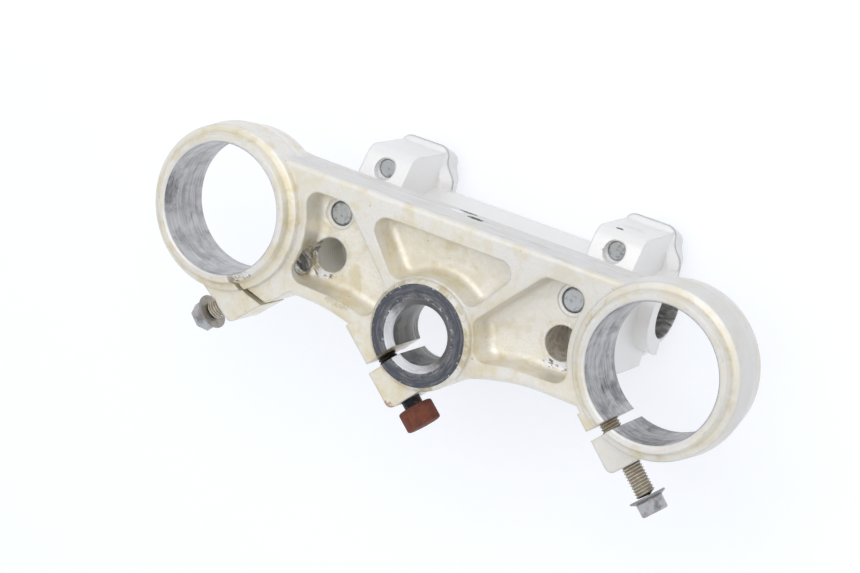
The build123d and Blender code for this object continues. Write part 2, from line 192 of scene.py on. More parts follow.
class StudioSizes(bpy.types.PropertyGroup):
    """The camera, the floor and the lamps."""
    camera_place: bpy.props.FloatVectorProperty(name="Camera", description="Where the camera stands",
                                                subtype="TRANSLATION", unit="LENGTH", size=3,
                                                default=(-0.3909013, 0.2661807, -0.8069888))
    camera_turn: bpy.props.FloatVectorProperty(name="Camera turn", description="The camera's rotation",
                                               subtype="EULER", unit="ROTATION", size=3,
                                               default=(2.995137, -0.499839, 2.879231))
    lens: bpy.props.FloatProperty(name="Lens", description="Focal length", subtype="DISTANCE_CAMERA",
                                  default=100.04)
    floor: length("Floor", "Width of the floor", 4000.0)
    world_light: bpy.props.FloatProperty(name="World", description="Strength of the light from all sides",
                                         default=0.74, min=0)
    key_power: bpy.props.FloatProperty(name="Key lamp", description="Power of the lamp under the yoke",
                                       subtype="POWER", unit="POWER", default=6.0, min=0)
    top_power: bpy.props.FloatProperty(name="Top lamp", description="Power of the lamp over the yoke",
                                       subtype="POWER", unit="POWER", default=4.5, min=0)
    paper: colour("Paper", "Floor and backdrop", 244, 246, 250)


class Signal:
    """A node's output, on which Python's operators add Math nodes."""

    def __init__(self, finish, socket):
        self.finish = finish
        self.socket = socket

    def math(self, operation, *others):
        """A Math node on this value and others."""
        values = dict(enumerate((self, *others)))
        return self.finish.node("Math", {"operation": operation}, values)

    def __add__(self, other):
        return self.math("ADD", other)

    def __sub__(self, other):
        return self.math("SUBTRACT", other)

    def __rsub__(self, other):
        return self.finish.node("Math", {"operation": "SUBTRACT"}, {0: other, 1: self})

    def __mul__(self, other):
        return self.math("MULTIPLY", other)

    def __truediv__(self, other):
        return self.math("DIVIDE", other)

    def __pow__(self, other):
        return self.math("POWER", other)

    __radd__ = __add__
    __rmul__ = __mul__

    def __abs__(self):
        return self.math("ABSOLUTE")

    def root(self):
        """The square root."""
        return self.math("SQRT")

    def lower(self, other):
        """The lower of two values."""
        return self.math("MINIMUM", other)

    def higher(self, other):
        """The higher of two values."""
        return self.math("MAXIMUM", other)

    def ramp(self, start, end):
        """A smooth step from 0 at start to 1 at end, or down where start is the greater."""
        settings = {"interpolation_type": "SMOOTHSTEP"}
        if start < end:
            rising = {"Value": self, "From Min": start, "From Max": end}
            return self.finish.node("MapRange", settings, rising)
        falling = {"Value": self, "From Min": end, "From Max": start, "To Min": 1.0, "To Max": 0.0}
        return self.finish.node("MapRange", settings, falling)


class Finish:
    """One material: its nodes, and the colour, roughness, metal and relief that they have built so far."""

    def __init__(self, name, base=None, rough=0.5, metal=0.0):
        self.material = bpy.data.materials.new(name)
        self.material.use_nodes = True
        self.tree = self.material.node_tree
        self.tree.nodes.clear()
        place = self.node("TexCoord", output="Object")
        self.place = self.node("VectorMath", {"operation": "SCALE"}, {0: place, "Scale": 1 / MM})
        self.x, self.y, self.z = (self.node("SeparateXYZ", {}, {0: self.place}, axis) for axis in "XYZ")
        self.base = base
        self.rough = rough
        self.metal = metal
        self.relief = 0.0

    def node(self, kind, settings=None, values=None, output=0):
        """A node's output: its settings are set first, then the values or links of its sockets."""
        node = self.tree.nodes.new("ShaderNode" + kind)
        for key, value in (settings or {}).items():
            setattr(node, key, value)
        for key, value in (values or {}).items():
            if isinstance(value, Signal):
                self.tree.links.new(value.socket, node.inputs[key])
            else:
                node.inputs[key].default_value = value
        return Signal(self, node.outputs[output]) if node.outputs else None

    def mix(self, base, cover, share):
        """One colour laid over another."""
        values = dict(zip((MIX_SHARE, *MIX_COLOURS), (share, base, cover)))
        return self.node("Mix", {"data_type": "RGBA"}, values, MIX_COLOUR_OUT)

    def blend(self, base, cover, share):
        """One number laid over another."""
        values = dict(zip((MIX_SHARE, *MIX_NUMBERS), (share, base, cover)))
        return self.node("Mix", {"data_type": "FLOAT"}, values)

    def lay(self, cover, share, rough=None, metal=None, relief=None):
        """Lay a layer over the surface: where share is 1, it hides what was there."""
        self.base = self.mix(self.base, cover, share)
        if rough is not None:
            self.rough = self.blend(self.rough, rough, share)
        if metal is not None:
            self.metal = self.blend(self.metal, metal, share)
        if relief is not None:
            self.relief = self.relief + share * relief

    def stretched(self, x, y, z):
        """The place, scaled along each axis, for a pattern that runs one way."""
        return self.node("VectorMath", {"operation": "MULTIPLY"}, {0: self.place, 1: (x, y, z)})

    def noise(self, scale, detail=4.0, rough=0.55, where=None, warp=0.0):
        """Noise from 0 to 1, with the given number of features in a millimetre, here or at another place."""
        values = {"Vector": where or self.place, "Scale": scale, "Detail": detail, "Roughness": rough,
                  "Distortion": warp}
        return self.node("TexNoise", {}, values)

    def turned(self, x, y, fine):
        """Noise drawn out into arcs, as a lathe leaves: x and y are a point's offsets from the axis."""
        away = (x ** 2 + y ** 2).root()
        arcs = self.node("CombineXYZ", {}, {0: away * fine, 1: x / away * 2.5, 2: y / away * 2.5})
        return self.noise(1.0, 5.0, 0.65, arcs)

    def specks(self, scale):
        """The distance to the nearest of many scattered points."""
        return self.node("TexVoronoi", {}, {"Vector": self.place, "Scale": scale})

    def openness(self, reach):
        """How open the surface lies, from 0 in a tight corner to 1: walls nearer than reach count."""
        settings = {"samples": 4, "only_local": True}
        return self.node("AmbientOcclusion", settings, {"Distance": reach * MM}, "AO")

    def mark(self, place, half, ragged, core=0.75):
        """A blot with the given middle and half sizes: ragged at the edge, and full inside the core."""
        away = self.node("VectorMath", {"operation": "SUBTRACT"}, {0: self.place, 1: place})
        share = self.node("VectorMath", {"operation": "DIVIDE"}, {0: away, 1: half})
        span = self.node("VectorMath", {"operation": "LENGTH"}, {0: share}, "Value")
        return (span + (self.noise(0.5, 4.0, 0.65) - 0.5) * (2 * ragged)).ramp(1.0, core)

    def about(self, placement):
        """How far along a placement's own Z axis the surface lies, and how far from that axis."""
        origin = placement.translation / MM
        axis = placement.col[2].xyz
        away = self.node("VectorMath", {"operation": "SUBTRACT"}, {0: self.place, 1: origin})
        along = self.node("VectorMath", {"operation": "DOT_PRODUCT"}, {0: away, 1: axis}, "Value")
        span = self.node("VectorMath", {"operation": "LENGTH"}, {0: away}, "Value")
        return along, (span ** 2 - along ** 2).higher(0.0).root()

    def ring(self, x, y):
        """The distance from an upright axis."""
        return ((self.x - x) ** 2 + (self.y - y) ** 2).root()

    def twin_ring(self, x, y):
        """The distance from the nearer of two upright axes, one on each side."""
        return ((abs(self.x) - x) ** 2 + (self.y - y) ** 2).root()

    def shade(self, bump, edge, coat=0.0):
        """The surface shader, with its edges rounded by the given radius in millimetres."""
        soft = self.node("Bevel", {"samples": 4}, {"Radius": edge * MM})
        relief = {"Height": self.relief, "Strength": bump, "Distance": MM, "Normal": soft}
        values = {"Base Color": self.base, "Roughness": self.rough, "Metallic": self.metal,
                  "Coat Weight": coat, "Normal": self.node("Bump", {}, relief)}
        surface = self.node("BsdfPrincipled", {}, values)
        self.node("OutputMaterial", {}, {"Surface": surface})
        return self.material


def look():
    """The casting's colours."""
    return bpy.context.scene.yoke_casting


def steel():
    """The bolts' colours."""
    return bpy.context.scene.yoke_steel


def lacquer_coat(finish, colours):
    """Pale lacquer: yellowed in patches, with stains and painted shade in corners, painted lighter on the
    pocket floor, and near-white on the risers as cleaner lacquer and painted light.
    """
    cloud = finish.noise(0.035, 5.0, 0.6, warp=0.6)
    patch = finish.noise(0.13, 7.0, 0.68, warp=1.0)
    grain = finish.noise(0.9, 4.0, 0.62)
    yellow = (cloud * 0.5 + patch * 0.5).ramp(0.44, 0.62)
    risers = finish.z.ramp(28.0, 34.0)
    floors = finish.z.ramp(12.0, 15.0) * finish.z.ramp(17.5, 16.0)
    finish.lay(colours.ivory, yellow * 0.7)
    # Brown laid where the ambient occlusion finds walls close by: partly corner dirt, partly painted shade
    # in the corners.
    corner = finish.openness(6.0).ramp(0.70, 0.36) * (1 - risers * 0.8)
    finish.lay(colours.stain_and_shade, corner * patch.ramp(0.42, 0.62) * 0.22)
    # A lighter yellowish white laid on the pocket floor: painted light, so the recessed floor reads as lit.
    finish.lay(colours.painted_floor_light, floors * (1 - yellow * 0.6) * 0.85, metal=0.25)
    aged = finish.noise(0.085, 4.0, 0.6).ramp(0.50, 0.64) * (grain * 0.8 + 0.4).lower(1.0)
    finish.lay(colours.amber, aged * (1 - risers) * 0.6)
    finish.lay(colours.stain_and_shade, patch.ramp(0.60, 0.74) * grain.ramp(0.36, 0.60) * 0.3)
    finish.lay(colours.cool_grey_and_shade, grain.ramp(0.50, 0.40) * (1 - yellow) * 0.3)
    greyer_side = finish.x.ramp(10.0, -50.0) * finish.y.ramp(2.0, 16.0)
    finish.lay(colours.cool_grey_and_shade, greyer_side * (1 - risers) * 0.35)
    # Near-white over the risers: partly cleaner lacquer, partly painted light on their undersides.
    finish.lay(colours.clean, risers * 0.85, metal=0.35)
    specks = finish.specks(0.16).ramp(0.08, 0.04) * patch.ramp(0.48, 0.52)
    finish.lay(colours.bore_dark, specks * 0.5)
    finish.rough = finish.rough + patch * 0.16 + grain * 0.08
    finish.metal = finish.metal + grain * 0.15
    finish.relief = finish.noise(2.6, 2.0, 0.5) * 0.2 + grain * 0.5 + patch * 0.9 - specks * 0.6
    return patch, grain


def bar_bore_wall(finish, colours):
    """The handlebar bore's wall, with grey streaks along the bar."""
    bar = ((finish.y - BAR_Y) ** 2 + (finish.z - BAR_Z) ** 2).root()
    inside = bar.ramp(11.3, 11.1) * abs(abs(finish.x) - RISER_X).ramp(17.5, 17.0)
    streak = finish.noise(1.0, 5.0, 0.62, finish.stretched(0.16, 0.5, 0.5), 0.5)
    wall = finish.mix(colours.throat, colours.bore, streak.ramp(0.36, 0.70))
    finish.lay(wall, inside, 0.4, 0.6, streak * 0.2)


def clamp_rims(finish, colours, patch):
    """The fork clamps' rims: yellowed in the groove round the collar, which is greyer and scratched, with a
    painted highlight round the bores' chamfer.
    """
    fork = finish.twin_ring(FORK_X, FORK_Y)
    groove = fork.ramp(30.4, 31.6) * fork.ramp(34.0, 31.8) * finish.z.ramp(1.6, 0.4)
    finish.lay(colours.ivory, groove * (finish.x.ramp(-20.0, 20.0) * 0.4 + 0.3))
    finish.lay(colours.stain_and_shade, groove * patch.ramp(0.46, 0.68) * 0.3)
    collar = fork.ramp(30.9, 30.5) * finish.z.ramp(-2.4, -2.9)
    arcs = finish.turned(abs(finish.x) - FORK_X, finish.y - FORK_Y, 1.4)
    finish.lay(colours.cool_grey_and_shade, collar * arcs.ramp(0.42, 0.62) * 0.5, relief=arcs * 0.4)
    finish.lay(colours.bore_dark, collar * arcs.ramp(0.60, 0.66) * patch.ramp(0.52, 0.60) * 0.4)
    scuff = finish.mark((82.0, -2.6, -3.1), (6.5, 3.2, 1.5), 0.8)
    finish.lay(colours.bore_dark, scuff * finish.noise(0.8, 5.0, 0.7).ramp(0.47, 0.57) * 0.6)
    finish.lay(colours.cool_grey_and_shade, fork.ramp(32.5, 34.5) * finish.x.ramp(-70.0, -95.0) * 0.55)
    # A light ring round each bore's chamfer: a painted highlight.
    edge = fork.ramp(28.1, 27.8) * finish.z.ramp(-2.2, -2.4) * fork.ramp(26.95, 27.1)
    finish.lay(colours.bright, edge * 0.5, 0.35, 0.7)


def front_wall(finish, colours):
    """The front wall: greyer in painted shade, scored along its length, with a nick and black marks, also on
    the left lug.
    """
    front = finish.y.ramp(47.6, 48.2) * abs(finish.x).ramp(80.0, 74.0) * finish.z.ramp(28.0, 27.0)
    score = finish.noise(1.0, 5.0, 0.7, finish.stretched(0.07, 1.0, 1.7), 0.3)
    # Grey laid over the whole front wall: painted shade on a face that takes less light.
    finish.lay(colours.cool_grey_and_shade, front * 0.6)
    finish.lay(colours.bore, front * score.ramp(0.50, 0.60) * 0.8, relief=score * 0.6)
    worn = finish.x.ramp(10.0, -25.0) * 0.25 + 0.2
    finish.lay(colours.bore_dark, front * score.ramp(0.55, 0.66) * worn)
    nick = finish.mark((4.6, FRONT_WALL, 18.6), (3.4, 2.0, 1.6), 0.9)
    finish.lay(colours.bright, nick, 0.3, 0.7, -1.0)
    tar = finish.mark((1.0, FRONT_WALL, 21.4), (4.4, 2.0, 1.0), 1.0).higher(
        finish.mark((-4.6, FRONT_WALL, 16.6), (4.2, 2.0, 1.7), 1.3)).higher(
        finish.mark((-50.0, LUG_FRONT, 52.5), (1.8, 2.5, 1.4), 0.7))
    finish.lay(colours.tar, tar, 0.5, 0.0, -0.8)
    scuff = finish.mark((-53.0, LUG_FRONT, 60.0), (6.0, 2.5, 3.0), 0.9) * score.ramp(0.4, 0.6)
    finish.lay(colours.bore, scuff * 0.7)


def fork_bore_walls(finish, colours):
    """The fork bores' walls: streaked grey, darker on the left, with a black patch on the right."""
    streak = finish.noise(1.0, 6.0, 0.60, finish.stretched(0.06, 0.06, 1.3), 0.1)
    blotch = finish.noise(0.11, 5.0, 0.62, warp=0.5)
    smear = finish.noise(1.0, 3.0, 0.5, finish.stretched(0.16, 0.16, 0.05), 0.2)
    left = finish.x.ramp(10.0, -10.0)
    dirt = streak.ramp(0.36, 0.70) * 0.32 + blotch.ramp(0.44, 0.72) * 0.35 + smear.ramp(0.46, 0.72) * 0.2
    dirt = dirt + left * (blotch.ramp(0.30, 0.60) * 0.22 + 0.04)
    smudge = finish.mark((128.0, 20.0, -1.0), (11.0, 17.0, 13.0), 0.6, 0.1) * (streak * 0.8 + 0.35)
    dirt = dirt.higher(smudge).lower(1.0)
    wall = finish.mix(colours.bore, colours.bore_dark, dirt)
    inside = finish.twin_ring(FORK_X, FORK_Y).ramp(*BORE_WALL)
    finish.lay(wall, inside, streak * 0.2 + 0.36, 0.6, streak * 0.6)
    return streak, blotch, dirt


def stem_clamp(finish, colours, patch, streak, blotch, dirt):
    """The stem clamp: its blackened and scratched seat, the worn lead-in chamfer with a painted highlight on
    one side, and the grey-green bore.
    """
    stem = finish.ring(0.0, 0.0)
    foot = stem.ramp(25.0, 21.0) * finish.z.ramp(3.4, 2.0)
    finish.lay(colours.stain_and_shade, foot * patch.ramp(0.42, 0.60) * 0.6)
    dirt = (dirt + blotch.ramp(0.48, 0.60) * 0.5).lower(1.0)
    throat = finish.mix(colours.throat, colours.bore_dark, dirt)
    throat = finish.mix(throat, colours.bore, finish.z.ramp(14.0, 20.0) * streak.ramp(0.4, 0.6) * 0.6)
    in_stem = stem.ramp(12.6, 12.3) * finish.z.ramp(2.4, 2.8)
    finish.lay(throat, in_stem, streak * 0.2 + 0.34, 0.6, streak * 0.6)
    arcs = finish.turned(finish.x, finish.y, 1.6)
    cloudy = finish.noise(0.22, 6.0, 0.68)
    seat = stem.ramp(*SEAT_RIM) * finish.z.ramp(0.3, 0.15) * stem.ramp(14.6, 14.8)
    worn = arcs.ramp(0.46, 0.66) * 0.55 + stem.ramp(18.4, 16.2) * cloudy.ramp(0.40, 0.62) * 0.45
    seat_colour = finish.mix(colours.seat, colours.seat_worn, worn)
    rim = stem.ramp(19.4, 20.5).higher(stem.ramp(16.6, 15.2))
    chips = finish.noise(0.6, 6.0, 0.74).ramp(0.56, 0.62) * rim
    finish.lay(finish.mix(seat_colour, colours.bright, chips * 0.6), seat, 0.5, 0.3, arcs * 0.5)
    lead = stem.ramp(15.1, 14.8) * finish.z.ramp(2.9, 2.6) * stem.ramp(12.1, 12.2)
    # The lead-in chamfer turns light on the side that faces the key lamp: a painted highlight.
    chamfer_highlight = (finish.x * 0.6 - finish.y * 0.8 + cloudy * 30.0).ramp(10.0, 24.0) * (0.3 + arcs)
    finish.lay(finish.mix(colours.seat_worn, colours.bright, chamfer_highlight.lower(1.0)), lead, 0.36, 0.6)


def side_pockets(finish, colours, patch, grain):
    """The side pockets' wells, stud holes and tapped hole, with turned rings, chatter marks and rust."""
    well = finish.twin_ring(RISER_X, WELL_Y)
    in_well = well.ramp(7.5, 7.3) * finish.z.ramp(POCKET_FLOOR, 15.9) * finish.z.ramp(40.0, 38.0)
    mouth = well.ramp(10.2, 8.4) * finish.z.ramp(17.0, 15.8)
    finish.lay(colours.ivory, mouth * patch.ramp(0.35, 0.55) * 0.7)
    finish.lay(colours.bright, well.ramp(8.9, 8.4) * mouth * grain.ramp(0.40, 0.60) * 0.6, 0.35, 0.6)
    rings = (finish.z * 4.2 + finish.noise(0.2) * 3.0).math("SINE") * 0.5 + 0.5
    wall = finish.mix(colours.well, colours.bore_dark, rings * 0.22)
    rusty = finish.x.ramp(-40.0, -50.0) * finish.noise(0.3, 5.0, 0.65).ramp(0.46, 0.62)
    wall = finish.mix(wall, colours.rust, rusty * 0.5)
    finish.lay(wall, in_well, 0.5, 0.15, rings * 0.3)
    faced = finish.twin_ring(RISER_X, STUD_Y).ramp(6.7, 6.4) * finish.z.ramp(18.0, 17.0)
    finish.lay(colours.bright, faced * 0.5, 0.36, 0.6)
    chatter = finish.mark((61.0, 13.5, POCKET_FLOOR), (3.2, 6.0, 3.0), 0.7).higher(
        finish.mark((55.5, 5.2, POCKET_FLOOR), (6.0, 2.2, 1.5), 0.7)).higher(
        finish.mark((-53.5, 5.0, POCKET_FLOOR), (6.5, 2.4, 1.5), 0.7))
    scrape = finish.turned(abs(finish.x) - RISER_X, finish.y - WELL_Y, 1.1)
    finish.lay(colours.bright, chatter * scrape.ramp(0.43, 0.50), 0.3, 0.5, 0.6)
    finish.lay(colours.bore_dark, chatter * scrape.ramp(0.47, 0.41) * 0.8, relief=-0.4)
    along, off = finish.about(right_clamp_frame())
    tapped = off.ramp(5.75, 5.6) * along.ramp(-34.0, -36.0) * along.ramp(-51.5, -49.5)
    finish.lay(finish.mix(colours.throat, colours.bore, 0.3), tapped, 0.4, 0.3)
    stained = off.ramp(9.0, 5.8) * along.ramp(-42.0, -46.0) * along.ramp(-60.0, -58.0)
    finish.lay(colours.stain_and_shade, stained * patch.ramp(0.38, 0.54) * 0.5 * (1 - tapped))


def scars(finish, colours):
    """A rubbed spot on the rear rib and rust that has run from the stem bolt."""
    rubbed = finish.mark((39.5, -0.6, 3.5), (6.0, 1.9, 1.6), 0.9)
    grit = finish.noise(0.45, 5.0, 0.7, warp=0.6)
    finish.lay(colours.stain_and_shade, rubbed * 0.35)
    finish.lay(colours.bore_dark, rubbed * grit.ramp(0.54, 0.74) * 0.5)
    finish.lay(colours.bright, rubbed * grit.ramp(0.46, 0.34) * 0.7)
    drip = finish.mark((6.1, -34.3, 4.5), (5.5, 3.2, 5.0), 0.9)
    finish.lay(colours.rust, drip * 0.65)


def cast_body_finish():
    """The casting: lacquered skin, machined bores, the blackened stem seat, wells, threads and scars."""
    colours = look()
    finish = Finish("cast_yoke", colours.lacquer, 0.26, 0.44)
    patch, grain = lacquer_coat(finish, colours)
    clamp_rims(finish, colours, patch)
    front_wall(finish, colours)
    bar_bore_wall(finish, colours)
    streak, blotch, dirt = fork_bore_walls(finish, colours)
    stem_clamp(finish, colours, patch, streak, blotch, dirt)
    side_pockets(finish, colours, patch, grain)
    scars(finish, colours)
    return finish.shade(0.22, 1.2, 0.1)


def cap_finish():
    """The bar caps: the same lacquer, greyer, with the bar's streaks in their half bores."""
    colours = look()
    finish = Finish("bar_cap_lacquer", colours.lacquer, 0.26, 0.44)
    lacquer_coat(finish, colours)
    finish.lay(colours.cool_grey_and_shade, 0.35)
    bar_bore_wall(finish, colours)
    return finish.shade(0.22, 1.0, 0.08)


def plated_finish():
    """Worn zinc plating with dirt in it."""
    colours = steel()
    finish = Finish("cap_bolt_plating", colours.plate, 0.32, 0.9)
    cloud = finish.noise(0.35, 5.0, 0.65, warp=0.8)
    speck = finish.noise(2.2, 3.0, 0.6)
    finish.lay(colours.plate_dark, (cloud * 0.6 + speck * 0.4).ramp(0.57, 0.75), 0.57)
    finish.lay(look().rust, finish.noise(0.5, 4.0).ramp(0.66, 0.72) * 0.5)
    finish.relief = speck
    return finish.shade(0.15, 0.3)


def thread_finish():
    """Cut aluminium with a little dirt."""
    colours = look()
    finish = Finish("cut_thread", colours.bore, 0.34, 0.6)
    finish.lay(colours.throat, finish.noise(0.5, 4.0).ramp(0.42, 0.62) * 0.6)
    finish.relief = finish.noise(2.0, 3.0) * 0.5
    return finish.shade(0.15, 0.1)


def stud_finish():
    """Flat steel ends with small pits."""
    colours = steel()
    finish = Finish("stud_steel", colours.stud_face, 0.36, 0.85)
    cloud = finish.noise(0.5, 4.0)
    finish.lay(colours.plate, cloud)
    finish.lay(colours.plate_dark, cloud.ramp(0.55, 0.66) * 0.35)
    pits = finish.specks(1.1).ramp(0.24, 0.1) * finish.noise(0.7).ramp(0.5, 0.6)
    finish.lay(colours.plate_dark, pits * 0.7, relief=-1.0)
    finish.rough = finish.rough + cloud * 0.15
    return finish.shade(0.2, 0.4)


def bolt_finish(name, placement, head, shank, bump):
    """A bolt's head and shank, each given by a colour, its dirt, roughness and metal.

    Dirt and painted shade darken the thread's roots.
    """
    sizes = bpy.context.scene.yoke_bolts
    tint, dirt, rough, metal = shank
    head_tint, head_dirt, head_rough, head_metal = head
    finish = Finish(name, tint, rough, metal)
    along, off = finish.about(placement)
    cloud = finish.noise(0.35, 5.0, 0.65, warp=0.8)
    speck = finish.noise(1.8, 4.0, 0.65)
    # Darker in the thread's roots: partly dirt, partly painted shade.
    root_dirt_and_shade = off.ramp(sizes.thread / MM / 2 - 0.1, sizes.root / MM / 2 + 0.1)
    finish.lay(dirt, root_dirt_and_shade * 0.8)
    finish.lay(dirt, cloud.ramp(0.50, 0.66) * 0.5)
    patchy = (finish.noise(0.24, 3.0, 0.6) * 0.85 + speck * 0.15).ramp(0.44, 0.66) * 0.6
    head_colour = finish.mix(head_tint, head_dirt, patchy.higher(along.ramp(2.2, 1.6) * 0.45))
    finish.lay(head_colour, along.ramp(-0.05, 0.05), head_rough, head_metal)
    finish.lay(look().rust, cloud.ramp(0.48, 0.62) * 0.22, 0.6, 0.4)
    finish.rough = finish.rough + speck * 0.12
    finish.relief = speck * 0.5 + cloud * 0.5
    return finish.shade(bump, 0.25)


def dress(node, material):
    """Give a node of the frame its finish."""
    data = frame["nodes"][node].data
    data.materials.clear()
    data.materials.append(material)


def solid(bm, name, placement, material, body="root", stands_for=None):
    """Turn a bmesh into a piece of the yoke, placed in its mesh."""
    bmesh.ops.remove_doubles(bm, verts=bm.verts, dist=1e-7)
    bmesh.ops.recalc_face_normals(bm, faces=bm.faces)
    bm.transform(placement)
    mesh = bpy.data.meshes.new(name)
    bm.to_mesh(mesh)
    bm.free()
    for polygon in mesh.polygons:
        polygon.use_smooth = True
    mesh.set_sharp_from_angle(angle=math.radians(32))
    mesh.materials.append(material)
    piece = bpy.data.objects.new(name, mesh)
    bpy.context.scene.collection.objects.link(piece)
    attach(piece, body)
    if stands_for:
        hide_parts(stands_for)


def drum(bm, radius, low, high, segments=48, top_radius=None):
    """A closed upright cylinder or cone: its vertices, and the edges of its top face."""
    upper = radius if top_radius is None else top_radius
    made = bmesh.ops.create_cone(bm, cap_ends=True, segments=segments, radius1=radius, radius2=upper,
                                 depth=high - low, matrix=Matrix.Translation((0, 0, (low + high) / 2)))
    rim = [v for v in made["verts"] if v.co.z > (low + high) / 2]
    edges = {e for v in rim for e in v.link_edges if all(w in rim for w in e.verts)}
    return made["verts"], list(edges)


def soften(bm, edges, width, segments=2):
    """Bevel edges by the given width."""
    bmesh.ops.bevel(bm, geom=edges, offset=width, affect="EDGES", segments=segments, profile=0.5,
                    material=-1)


def threaded_rod(bm, sizes, low, high):
    """A rod with a true helical thread from low to high, closed at both ends."""
    turns = int((high - low) / sizes.pitch) - 1
    crest = sizes.thread / 2
    valley = sizes.root / 2
    flat = sizes.pitch * 0.12
    points = []
    for turn in range(turns):
        foot = low + turn * sizes.pitch
        points += [(valley, foot), (valley, foot + flat), (crest, foot + sizes.pitch / 2 - flat / 2),
                   (crest, foot + sizes.pitch / 2 + flat / 2)]
    points.append((valley, low + turns * sizes.pitch))
    verts = [bm.verts.new((radius, 0, z)) for radius, z in points]
    edges = [bm.edges.new(pair) for pair in zip(verts, verts[1:])]
    bmesh.ops.spin(bm, geom=verts + edges, cent=(0, 0, 0), axis=(0, 0, 1), angle=math.tau,
                   dvec=(0, 0, sizes.pitch / TURN_STEPS), steps=TURN_STEPS, use_merge=False)
    bmesh.ops.remove_doubles(bm, verts=bm.verts, dist=1e-6)
    bmesh.ops.holes_fill(bm, edges=[e for e in bm.edges if e.is_boundary], sides=0)


def thread_ridge(bm, outer, inner, top, pitch, turns):
    """The helical ridge of a thread in a hole's wall, from top downwards, closed at both ends."""
    foot = pitch * 0.45
    crest = pitch * 0.08
    profile = ((outer, top - foot), (inner, top - crest), (inner, top + crest), (outer, top + foot))
    verts = [bm.verts.new((radius, 0, z)) for radius, z in profile]
    edges = [bm.edges.new(pair) for pair in zip(verts, verts[1:] + verts[:1])]
    bmesh.ops.spin(bm, geom=verts + edges, cent=(0, 0, 0), axis=(0, 0, 1), dvec=(0, 0, -pitch / TURN_STEPS),
                   angle=math.tau * turns, steps=TURN_STEPS * turns, use_merge=False)
    bmesh.ops.holes_fill(bm, edges=[e for e in bm.edges if e.is_boundary], sides=0)


def clamp_frame(bore, angle, side, reach, seat, out, height):
    """The placement of a pinch bolt: Z runs to its head, and the origin is under the head."""
    along = Vector((math.cos(angle), math.sin(angle), 0))
    across = Vector((-along.y, along.x, 0)) * side
    origin = bore + along * reach + across * (seat + out)
    origin.z = height
    turn = Matrix((Vector((0, 0, 1)), across.cross(Vector((0, 0, 1))), across)).transposed()
    return Matrix.LocRotScale(origin, turn, None)


def bore_axis(mount):
    """A bore's place in the frame, at the level of the stem seat."""
    x, y, _ = MOUNTS[mount]["pos_m"]
    return Vector((x, y, 0))


def right_clamp_frame():
    """The placement of the right fork clamp's pinch bolt, whose tapped hole opens into a side pocket."""
    sizes = bpy.context.scene.yoke_bolts
    return clamp_frame(bore_axis("right_fork_bore"), sizes.fork_angle - math.pi, 1, sizes.right_reach,
                       sizes.right_seat, sizes.right_out, sizes.height)


def fork_bolt(name, placement, head, shank):
    """A flanged hexagon bolt with a threaded shank."""
    sizes = bpy.context.scene.yoke_bolts
    bm = bmesh.new()
    threaded_rod(bm, sizes, -sizes.fork_length, 0.4 * MM)
    edge = sizes.flange_edge
    _, rim = drum(bm, sizes.flange / 2, 0, edge * 0.6)
    soften(bm, rim, 0.25 * MM)
    drum(bm, sizes.flange / 2 - 0.3 * MM, edge * 0.5, edge * 1.25, top_radius=sizes.hexagon / 2)
    top = edge + sizes.hexagon_height
    _, rim = drum(bm, sizes.hexagon / math.sqrt(3), edge * 0.6, top, segments=6)
    soften(bm, rim, 0.55 * MM, 1)
    material = bolt_finish(name + "_metal", placement, head, shank, 0.12)
    stands_for = name.replace("screw", "bolt")
    solid(bm, name, placement, material, stands_for=stands_for)


class YokeOperator(bpy.types.Operator):
    """Shared by the operators that make the yoke's pieces."""
    bl_options = {"REGISTER", "UNDO"}


class OBJECT_OT_yoke_casting(YokeOperator):
    """Finish the casting and the bar caps"""
    bl_idname = "object.yoke_casting"
    bl_label = "Casting and caps"

    def execute(self, context):
        dress("clamp_body", cast_body_finish())
        caps = cap_finish()
        for side in ("left", "right"):
            dress(f"{side}_bar_cap", caps)
        return {"FINISHED"}


class OBJECT_OT_yoke_studs(YokeOperator):
    """Finish the riser studs and the cap bolts"""
    bl_idname = "object.yoke_studs"
    bl_label = "Studs and cap bolts"

    def execute(self, context):
        studs = stud_finish()
        plated = plated_finish()
        for side in ("left", "right"):
            dress(f"{side}_riser_stud", studs)
            dress(f"{side}_front_cap_bolt", studs)
            dress(f"{side}_rear_cap_bolt", plated)
        return {"FINISHED"}


class OBJECT_OT_yoke_fork_bolts(YokeOperator):
    """Model the two fork pinch bolts"""
    bl_idname = "object.yoke_fork_bolts"
    bl_label = "Fork pinch bolts"

    def execute(self, context):
        sizes = context.scene.yoke_bolts
        metal = steel()
        head = (metal.plate, metal.plate_dark, 0.28, 0.9)
        shank = (metal.thread, metal.thread_dark, 0.42, 0.75)
        left = clamp_frame(bore_axis("left_fork_bore"), -sizes.fork_angle, -1, sizes.left_reach, sizes.seat,
                           sizes.left_out, sizes.height)
        fork_bolt("left_fork_pinch_screw", left, head, shank)
        fork_bolt("right_fork_pinch_screw", right_clamp_frame(), head, shank)
        return {"FINISHED"}


class OBJECT_OT_yoke_tapped_hole(YokeOperator):
    """Model the thread that shows in the right side pocket"""
    bl_idname = "object.yoke_tapped_hole"
    bl_label = "Open thread"

    def execute(self, context):
        sizes = context.scene.yoke_bolts
        ridge = 0.7 * MM
        shown = 6 * MM
        hole = sizes.tap / 2
        mouth = sizes.tap_mouth / 2
        bm = bmesh.new()
        thread_ridge(bm, hole, hole - ridge, shown - sizes.tap_depth, sizes.pitch, 4)
        thread_ridge(bm, mouth, mouth - ridge, -sizes.tap_depth - sizes.pitch / 2, sizes.pitch, 2)
        solid(bm, "right_tapped_thread", right_clamp_frame(), thread_finish())
        return {"FINISHED"}


